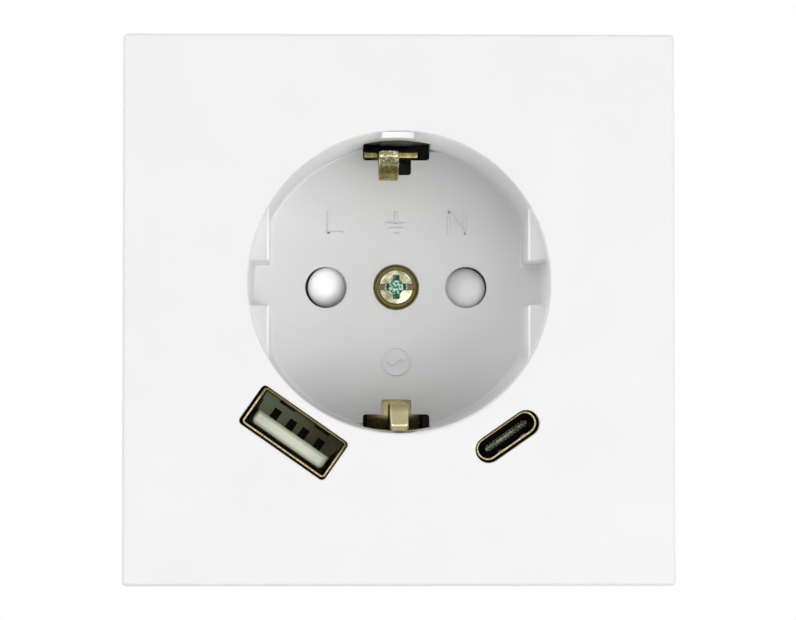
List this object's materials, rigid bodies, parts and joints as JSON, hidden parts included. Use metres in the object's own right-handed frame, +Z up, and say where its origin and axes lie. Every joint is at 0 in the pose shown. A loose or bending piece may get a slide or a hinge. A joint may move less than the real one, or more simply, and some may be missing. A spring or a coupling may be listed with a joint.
{
  "type": "usb wall socket",
  "caption": "Square white flush wall socket with a round shuttered plug well, side earth fingers and two slanted charging ports, on a steel fixing ring.",
  "frame": {"origin": "middle of the wall box on the wall plane, which is the back of the support ring", "axes": "+Z up, +X to the right seen from the front, the cover faces -Y and the wall box lies at +Y"},
  "size_m": [0.072, 0.0436, 0.072],
  "materials": {
    "white_cover": "smooth white moulding, satin",
    "white_shutter": "smooth white moulding",
    "brass": "rolled brass strip, dull",
    "screw_brass": "yellow passivated screw",
    "zinc_steel": "zinc plated steel",
    "spring_steel": "bright spring steel",
    "dark_plastic": "dark grey moulding, fine texture",
    "grey_button": "light grey moulding",
    "gold_shell": "plated shell sheet",
    "ivory_plastic": "pale insulating moulding",
    "black_plastic": "black moulding",
    "gold_contact": "gold plated contact",
    "green_board": "solder mask over glass laminate",
    "ferrite": "sintered ferrite",
    "yellow_tape": "winding under tape",
    "can_sleeve": "sleeved aluminium can",
    "copper_wire": "bare copper wire"
  },
  "bodies": {
    "socket": {"cover_plate": "white_cover", "earth_bracket": "brass", "line_contact": "brass", "neutral_contact": "brass", "cover_screw": "screw_brass", "support_ring": "zinc_steel", "cover_nut": "zinc_steel", "housing_screws": "zinc_steel", "shutter_spring": "spring_steel", "line_clamp": "spring_steel", "neutral_clamp": "spring_steel", "earth_clamp": "spring_steel", "socket_base": "dark_plastic", "rear_housing": "dark_plastic", "usb_a_shell": "gold_shell", "usb_c_shell": "gold_shell", "usb_a_insulator": "ivory_plastic", "usb_c_insulator": "black_plastic", "controller_chips": "black_plastic", "rectifier": "black_plastic", "fuse": "black_plastic", "usb_a_contacts": "gold_contact", "usb_c_contacts": "gold_contact", "board_pins": "gold_contact", "port_board": "green_board", "power_board": "green_board", "transformer_core": "ferrite", "transformer_winding": "yellow_tape", "input_capacitors": "can_sleeve", "output_capacitor": "can_sleeve", "line_lead": "copper_wire", "neutral_lead": "copper_wire"},
    "shutter": {"shutter_rotor": "white_shutter"},
    "line_button": {"line_release": "grey_button"},
    "neutral_button": {"neutral_release": "grey_button"},
    "earth_button": {"earth_release": "grey_button"}
  },
  "joints": [
    {"name": "shutter_turn", "type": "hinge", "parent": "socket", "child": "shutter", "pos_m": [0.0003, 0.0101, 0.0036], "axis": [0, 1, 0], "range_deg": [0, 38], "stiffness_Nm_per_rad": 0.02, "deforming": ["shutter_spring"]},
    {"name": "line_press", "type": "slide", "parent": "socket", "child": "line_button", "axis": [0, -1, 0], "range_m": [0, 0.0018], "stiffness_N_per_m": 1500, "deforming": ["line_clamp"]},
    {"name": "neutral_press", "type": "slide", "parent": "socket", "child": "neutral_button", "axis": [0, -1, 0], "range_m": [0, 0.0018], "stiffness_N_per_m": 1500, "deforming": ["neutral_clamp"]},
    {"name": "earth_press", "type": "slide", "parent": "socket", "child": "earth_button", "axis": [0, -1, 0], "range_m": [0, 0.0018], "stiffness_N_per_m": 1500, "deforming": ["earth_clamp"]}
  ]
}
